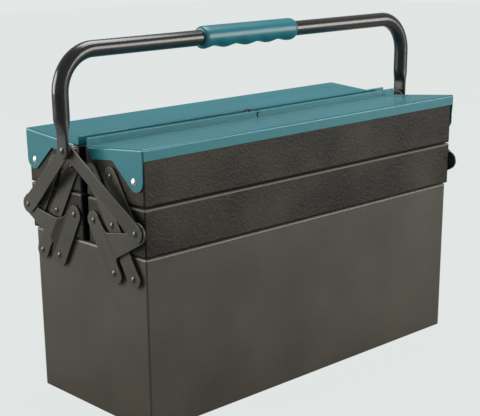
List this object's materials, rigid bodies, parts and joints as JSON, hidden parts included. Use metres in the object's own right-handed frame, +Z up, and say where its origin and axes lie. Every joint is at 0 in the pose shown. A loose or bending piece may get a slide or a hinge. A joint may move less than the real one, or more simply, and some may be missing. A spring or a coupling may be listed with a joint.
{
  "type": "cantilever tool box",
  "caption": "Cantilever tool box: deep base, stacked trays that fan out on riveted links, hinged lids, and a tubular carrying handle with a shaped grip.",
  "frame": {"origin": "middle of the base's underside, where the shut box rests", "axes": "+X along the box's length, -Y towards the front trays, +Z up; the box is shut and the handle upright at rest"},
  "size_m": [0.555, 0.21, 0.4],
  "materials": {
    "powder_coat": "very dark warm grey textured powder coat, satin",
    "lid_paint": "glossy teal enamel",
    "bright_rivet": "bright plated steel",
    "grip": "smooth teal moulded plastic"
  },
  "bodies": {
    "base": {"base_box": "powder_coat", "base_rivets": "powder_coat"},
    "front_lift_links": {"lift_link_front_left": "powder_coat", "lift_link_front_right": "powder_coat"},
    "front_brackets": {"bracket_front_left": "powder_coat", "bracket_front_right": "powder_coat", "bracket_studs_front": "powder_coat"},
    "front_lower_tray": {"lower_tray_front": "powder_coat", "lower_rivets_front": "powder_coat", "lower_dividers_front": "powder_coat"},
    "front_stays": {"stay_front_left": "powder_coat", "stay_front_right": "powder_coat"},
    "front_upper_tray": {"upper_tray_front": "powder_coat", "upper_rivets_front": "powder_coat", "upper_dividers_front": "powder_coat", "lid_rivets_front": "bright_rivet"},
    "front_lid": {"lid_front": "lid_paint"},
    "front_handle_links": {"handle_link_front_left": "powder_coat", "handle_link_front_right": "powder_coat", "handle_link_rivets_front": "powder_coat"},
    "back_lift_links": {"lift_link_back_left": "powder_coat", "lift_link_back_right": "powder_coat"},
    "back_brackets": {"bracket_back_left": "powder_coat", "bracket_back_right": "powder_coat", "bracket_studs_back": "powder_coat"},
    "back_lower_tray": {"lower_tray_back": "powder_coat", "lower_rivets_back": "powder_coat", "lower_dividers_back": "powder_coat"},
    "back_stays": {"stay_back_left": "powder_coat", "stay_back_right": "powder_coat"},
    "back_upper_tray": {"upper_tray_back": "powder_coat", "upper_rivets_back": "powder_coat", "upper_dividers_back": "powder_coat", "lid_rivets_back": "bright_rivet"},
    "back_lid": {"lid_back": "lid_paint"},
    "back_handle_links": {"handle_link_back_left": "powder_coat", "handle_link_back_right": "powder_coat", "handle_link_rivets_back": "powder_coat"},
    "handle_pivots": {"handle_pivots": "powder_coat"},
    "handle": {"handle_tube": "powder_coat", "handle_grip": "grip"}
  },
  "joints": [
    {"name": "fold", "type": "hinge", "parent": "base", "child": "front_lift_links", "pos_m": [0, -0.08, 0.1655], "axis": [1, 0, 0], "range_deg": [0, 63.9]},
    {"name": "front_bracket_pivot", "type": "hinge", "parent": "base", "child": "front_brackets", "pos_m": [0, -0.0485, 0.1655], "axis": [1, 0, 0], "range_deg": [0, 63.9]},
    {"name": "front_lower_tray_pivot", "type": "hinge", "parent": "front_lift_links", "child": "front_lower_tray", "pos_m": [0, -0.0485, 0.216], "axis": [-1, 0, 0], "range_deg": [0, 63.9]},
    {"name": "front_stay_pivot", "type": "hinge", "parent": "front_lower_tray", "child": "front_stays", "pos_m": [0, -0.08, 0.216], "axis": [1, 0, 0], "range_deg": [0, 63.9]},
    {"name": "front_upper_tray_pivot", "type": "hinge", "parent": "front_lift_links", "child": "front_upper_tray", "pos_m": [0, -0.017, 0.2665], "axis": [-1, 0, 0], "range_deg": [0, 63.9]},
    {"name": "front_lid_hinge", "type": "hinge", "parent": "front_upper_tray", "child": "front_lid", "pos_m": [0, -0.0855, 0.2654], "axis": [1, 0, 0], "range_deg": [0, 110]},
    {"name": "front_handle_link_pivot", "type": "hinge", "parent": "handle_pivots", "child": "front_handle_links", "pos_m": [0, 0, 0.289], "axis": [-1, 0, 0], "range_deg": [0, 22.1]},
    {"name": "back_fold", "type": "hinge", "parent": "base", "child": "back_lift_links", "pos_m": [0, 0.08, 0.1655], "axis": [-1, 0, 0], "range_deg": [0, 63.9]},
    {"name": "back_bracket_pivot", "type": "hinge", "parent": "base", "child": "back_brackets", "pos_m": [0, 0.0485, 0.1655], "axis": [-1, 0, 0], "range_deg": [0, 63.9]},
    {"name": "back_lower_tray_pivot", "type": "hinge", "parent": "back_lift_links", "child": "back_lower_tray", "pos_m": [0, 0.0485, 0.216], "axis": [1, 0, 0], "range_deg": [0, 63.9]},
    {"name": "back_stay_pivot", "type": "hinge", "parent": "back_lower_tray", "child": "back_stays", "pos_m": [0, 0.08, 0.216], "axis": [-1, 0, 0], "range_deg": [0, 63.9]},
    {"name": "back_upper_tray_pivot", "type": "hinge", "parent": "back_lift_links", "child": "back_upper_tray", "pos_m": [0, 0.017, 0.2665], "axis": [1, 0, 0], "range_deg": [0, 63.9]},
    {"name": "back_lid_hinge", "type": "hinge", "parent": "back_upper_tray", "child": "back_lid", "pos_m": [0, 0.0855, 0.2654], "axis": [-1, 0, 0], "range_deg": [0, 110]},
    {"name": "back_handle_link_pivot", "type": "hinge", "parent": "handle_pivots", "child": "back_handle_links", "pos_m": [0, 0, 0.289], "axis": [1, 0, 0], "range_deg": [0, 22.1]},
    {"name": "handle_drop", "type": "slide", "parent": "base", "child": "handle_pivots", "axis": [0, 0, -1], "range_m": [0, 0.1093]},
    {"name": "handle_swing", "type": "hinge", "parent": "handle_pivots", "child": "handle", "pos_m": [0, 0, 0.289], "axis": [1, 0, 0], "range_deg": [-40, 40]}
  ],
  "couplings": [
    {"joint": "front_bracket_pivot", "follows": "fold", "ratio": 1},
    {"joint": "front_lower_tray_pivot", "follows": "fold", "ratio": 1},
    {"joint": "front_stay_pivot", "follows": "fold", "ratio": 1},
    {"joint": "front_upper_tray_pivot", "follows": "fold", "ratio": 1},
    {"joint": "front_handle_link_pivot", "follows": "fold", "ratio": 0.3444},
    {"joint": "back_fold", "follows": "fold", "ratio": 1},
    {"joint": "back_bracket_pivot", "follows": "fold", "ratio": 1},
    {"joint": "back_lower_tray_pivot", "follows": "fold", "ratio": 1},
    {"joint": "back_stay_pivot", "follows": "fold", "ratio": 1},
    {"joint": "back_upper_tray_pivot", "follows": "fold", "ratio": 1},
    {"joint": "back_handle_link_pivot", "follows": "fold", "ratio": 0.3444},
    {"joint": "handle_drop", "follows": "fold", "m_per_rad": 0.0979}
  ]
}
